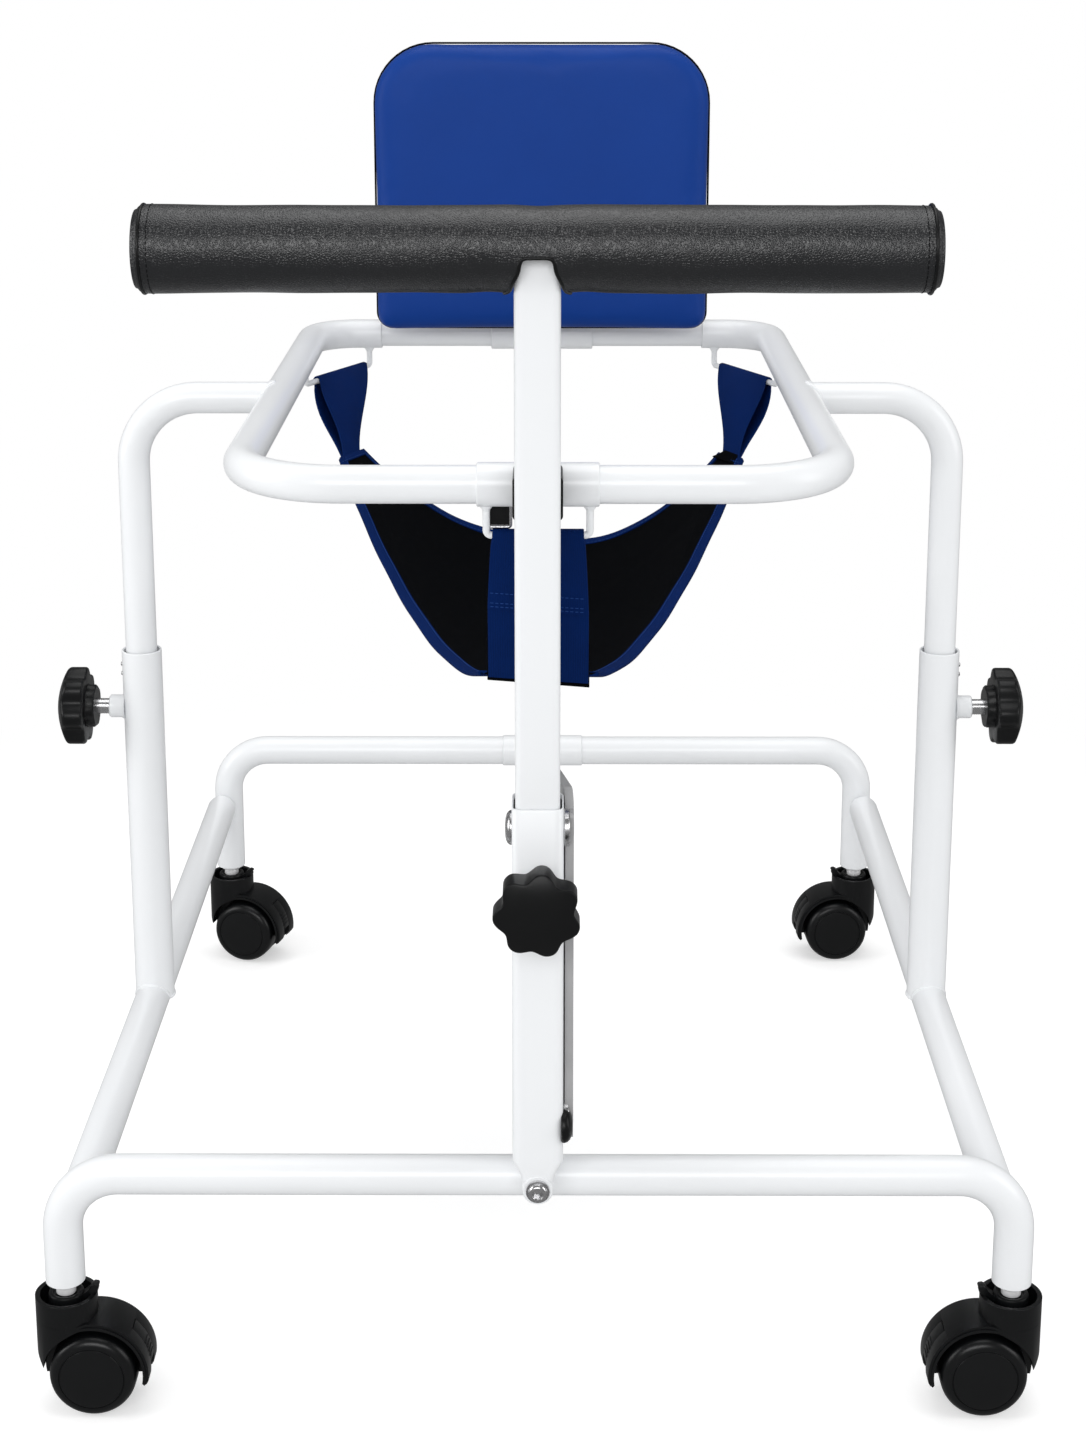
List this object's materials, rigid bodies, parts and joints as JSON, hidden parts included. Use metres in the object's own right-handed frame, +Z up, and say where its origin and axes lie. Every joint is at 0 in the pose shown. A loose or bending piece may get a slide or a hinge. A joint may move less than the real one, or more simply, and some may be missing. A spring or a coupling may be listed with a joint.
{
  "type": "pediatric walker",
  "caption": "Child's posture walker: castored white tube base, height-adjustable support ring with backrest and sling seat, and a padded T-bar on a telescoping front post.",
  "frame": {"origin": "on the floor under the middle of the overall box", "axes": "+Z up; +X towards the walker's right as seen from its front post side; +Y from the front post towards the backrest"},
  "size_m": [0.785, 0.8828, 0.932],
  "materials": {
    "white_paint": "gloss powder coat",
    "bright_steel": "polished",
    "black_plastic": "satin moulded",
    "black_nylon": "satin moulded nylon",
    "grey_board": "matte board",
    "backing_board": "bare plywood",
    "blue_vinyl": "smooth upholstery vinyl",
    "charcoal_vinyl": "fine-grained upholstery vinyl",
    "navy_webbing": "woven webbing",
    "black_mesh": "fine knitted mesh"
  },
  "bodies": {
    "base": {"front_cross_tube": "white_paint", "rear_cross_tube": "white_paint", "side_rail_left": "white_paint", "side_rail_right": "white_paint", "upright_sleeve_left": "white_paint", "upright_sleeve_right": "white_paint", "post_sleeve": "white_paint", "post_foot_bolt": "bright_steel", "leg_divider_panel": "grey_board", "divider_bolt_upper": "bright_steel", "divider_bolt_lower": "bright_steel", "guide_screw": "bright_steel", "caster_stem_front_left": "bright_steel", "caster_stem_front_right": "bright_steel", "caster_stem_rear_left": "bright_steel", "caster_stem_rear_right": "bright_steel"},
    "upper_frame": {"ring_left": "white_paint", "ring_right": "white_paint", "ring_front_sleeve": "white_paint", "ring_rear_tube": "white_paint", "ring_rear_sleeve": "white_paint", "upright_tube_left": "white_paint", "upright_tube_right": "white_paint", "backrest_post": "white_paint", "post_guide_block": "black_plastic", "backrest_board": "backing_board", "backrest_pad": "blue_vinyl", "sling_seat": "black_mesh", "sling_strap_front": "navy_webbing", "sling_strap_left": "navy_webbing", "sling_strap_right": "navy_webbing"},
    "t_bar": {"post_tube": "white_paint", "handle_tube": "white_paint", "roll_pad": "charcoal_vinyl"},
    "clamp_knob_front": {"knob_front": "black_plastic", "knob_stud_front": "bright_steel"},
    "clamp_knob_left": {"knob_left": "black_plastic", "knob_stud_left": "bright_steel"},
    "clamp_knob_right": {"knob_right": "black_plastic", "knob_stud_right": "bright_steel"},
    "swivel_front_left": {"caster_hood_front_left": "black_nylon", "caster_axle_front_left": "bright_steel"},
    "wheel_a_front_left": {"wheel_a_front_left": "black_nylon"},
    "wheel_b_front_left": {"wheel_b_front_left": "black_nylon"},
    "pedal_front_left": {"brake_pedal_front_left": "black_nylon"},
    "swivel_front_right": {"caster_hood_front_right": "black_nylon", "caster_axle_front_right": "bright_steel"},
    "wheel_a_front_right": {"wheel_a_front_right": "black_nylon"},
    "wheel_b_front_right": {"wheel_b_front_right": "black_nylon"},
    "pedal_front_right": {"brake_pedal_front_right": "black_nylon"},
    "swivel_rear_left": {"caster_hood_rear_left": "black_nylon", "caster_axle_rear_left": "bright_steel"},
    "wheel_a_rear_left": {"wheel_a_rear_left": "black_nylon"},
    "wheel_b_rear_left": {"wheel_b_rear_left": "black_nylon"},
    "pedal_rear_left": {"brake_pedal_rear_left": "black_nylon"},
    "swivel_rear_right": {"caster_hood_rear_right": "black_nylon", "caster_axle_rear_right": "bright_steel"},
    "wheel_a_rear_right": {"wheel_a_rear_right": "black_nylon"},
    "wheel_b_rear_right": {"wheel_b_rear_right": "black_nylon"},
    "pedal_rear_right": {"brake_pedal_rear_right": "black_nylon"}
  },
  "joints": [
    {"name": "upper_frame_slide", "type": "slide", "parent": "base", "child": "upper_frame", "axis": [0, 0, 1], "range_m": [-0.06, 0.06]},
    {"name": "t_bar_slide", "type": "slide", "parent": "base", "child": "t_bar", "axis": [0, 0, 1], "range_m": [-0.03, 0.12]},
    {"name": "clamp_knob_front_turn", "type": "hinge", "parent": "base", "child": "clamp_knob_front", "pos_m": [0, -0.4001, 0.4135], "axis": [0, -1, 0], "continuous": true},
    {"name": "clamp_knob_left_turn", "type": "hinge", "parent": "base", "child": "clamp_knob_left", "pos_m": [-0.3515, -0.0189, 0.4135], "axis": [-1, 0, 0], "continuous": true},
    {"name": "clamp_knob_right_turn", "type": "hinge", "parent": "base", "child": "clamp_knob_right", "pos_m": [0.3515, -0.0189, 0.4135], "axis": [1, 0, 0], "continuous": true},
    {"name": "swivel_front_left_turn", "type": "hinge", "parent": "base", "child": "swivel_front_left", "pos_m": [-0.336, -0.3439, 0], "axis": [0, 0, 1], "continuous": true},
    {"name": "wheel_a_front_left_spin", "type": "hinge", "parent": "swivel_front_left", "child": "wheel_a_front_left", "pos_m": [-0.316, -0.3439, 0.031], "axis": [0, 1, 0], "continuous": true},
    {"name": "wheel_b_front_left_spin", "type": "hinge", "parent": "swivel_front_left", "child": "wheel_b_front_left", "pos_m": [-0.316, -0.3439, 0.031], "axis": [0, 1, 0], "continuous": true},
    {"name": "pedal_front_left_tip", "type": "hinge", "parent": "swivel_front_left", "child": "pedal_front_left", "pos_m": [-0.28953, -0.3439, 0.05841], "axis": [0, -1, 0], "range_deg": [0, 12]},
    {"name": "swivel_front_right_turn", "type": "hinge", "parent": "base", "child": "swivel_front_right", "pos_m": [0.336, -0.3439, 0], "axis": [0, 0, 1], "continuous": true},
    {"name": "wheel_a_front_right_spin", "type": "hinge", "parent": "swivel_front_right", "child": "wheel_a_front_right", "pos_m": [0.316, -0.3439, 0.031], "axis": [0, -1, 0], "continuous": true},
    {"name": "wheel_b_front_right_spin", "type": "hinge", "parent": "swivel_front_right", "child": "wheel_b_front_right", "pos_m": [0.316, -0.3439, 0.031], "axis": [0, -1, 0], "continuous": true},
    {"name": "pedal_front_right_tip", "type": "hinge", "parent": "swivel_front_right", "child": "pedal_front_right", "pos_m": [0.28953, -0.3439, 0.05841], "axis": [0, 1, 0], "range_deg": [0, 12]},
    {"name": "swivel_rear_left_turn", "type": "hinge", "parent": "base", "child": "swivel_rear_left", "pos_m": [-0.319, 0.4161, 0], "axis": [0, 0, 1], "continuous": true},
    {"name": "wheel_a_rear_left_spin", "type": "hinge", "parent": "swivel_rear_left", "child": "wheel_a_rear_left", "pos_m": [-0.29987, 0.41025, 0.031], "axis": [0.2924, 0.9563, 0], "continuous": true},
    {"name": "wheel_b_rear_left_spin", "type": "hinge", "parent": "swivel_rear_left", "child": "wheel_b_rear_left", "pos_m": [-0.29987, 0.41025, 0.031], "axis": [0.2924, 0.9563, 0], "continuous": true},
    {"name": "pedal_rear_left_tip", "type": "hinge", "parent": "swivel_rear_left", "child": "pedal_rear_left", "pos_m": [-0.27456, 0.40252, 0.05841], "axis": [-0.2924, -0.9563, 0], "range_deg": [0, 12]},
    {"name": "swivel_rear_right_turn", "type": "hinge", "parent": "base", "child": "swivel_rear_right", "pos_m": [0.319, 0.4161, 0], "axis": [0, 0, 1], "continuous": true},
    {"name": "wheel_a_rear_right_spin", "type": "hinge", "parent": "swivel_rear_right", "child": "wheel_a_rear_right", "pos_m": [0.29905, 0.4147, 0.031], "axis": [0.0698, -0.9976, 0], "continuous": true},
    {"name": "wheel_b_rear_right_spin", "type": "hinge", "parent": "swivel_rear_right", "child": "wheel_b_rear_right", "pos_m": [0.29905, 0.4147, 0.031], "axis": [0.0698, -0.9976, 0], "continuous": true},
    {"name": "pedal_rear_right_tip", "type": "hinge", "parent": "swivel_rear_right", "child": "pedal_rear_right", "pos_m": [0.27265, 0.41286, 0.05841], "axis": [-0.0698, 0.9976, 0], "range_deg": [0, 12]}
  ]
}
